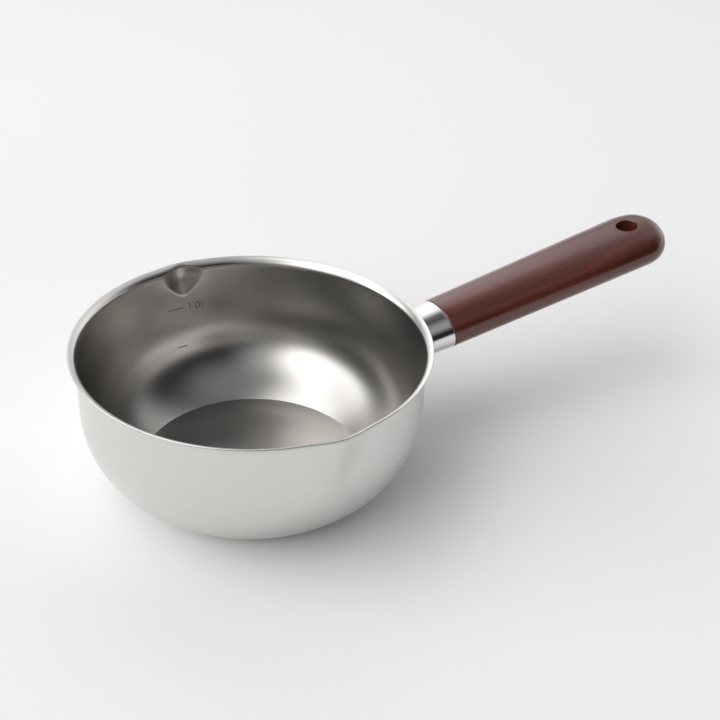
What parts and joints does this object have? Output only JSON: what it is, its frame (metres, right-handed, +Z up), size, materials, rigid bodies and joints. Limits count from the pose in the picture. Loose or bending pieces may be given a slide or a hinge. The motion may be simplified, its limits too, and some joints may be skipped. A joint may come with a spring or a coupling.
{
  "type": "saucepan",
  "caption": "Stainless steel saucepan with a rounded wall, a flared lip with two pressed pouring spouts, and a flat wooden handle with a hanging hole.",
  "frame": {"origin": "middle of the flat base, on the surface that the pan stands on", "axes": "+Z up along the bowl's axis, +X towards the handle's tip, the two spouts at +Y and -Y"},
  "size_m": [0.3668, 0.189, 0.0931],
  "materials": {
    "brushed_steel": "satin",
    "polished_steel": "polished",
    "lacquered_wood": "satin lacquer"
  },
  "bodies": {
    "root": {"pan_body": "brushed_steel", "handle_ferrule": "polished_steel", "handle_bracket": "brushed_steel", "wooden_handle": "lacquered_wood", "handle_screw": "brushed_steel"}
  },
  "joints": []
}
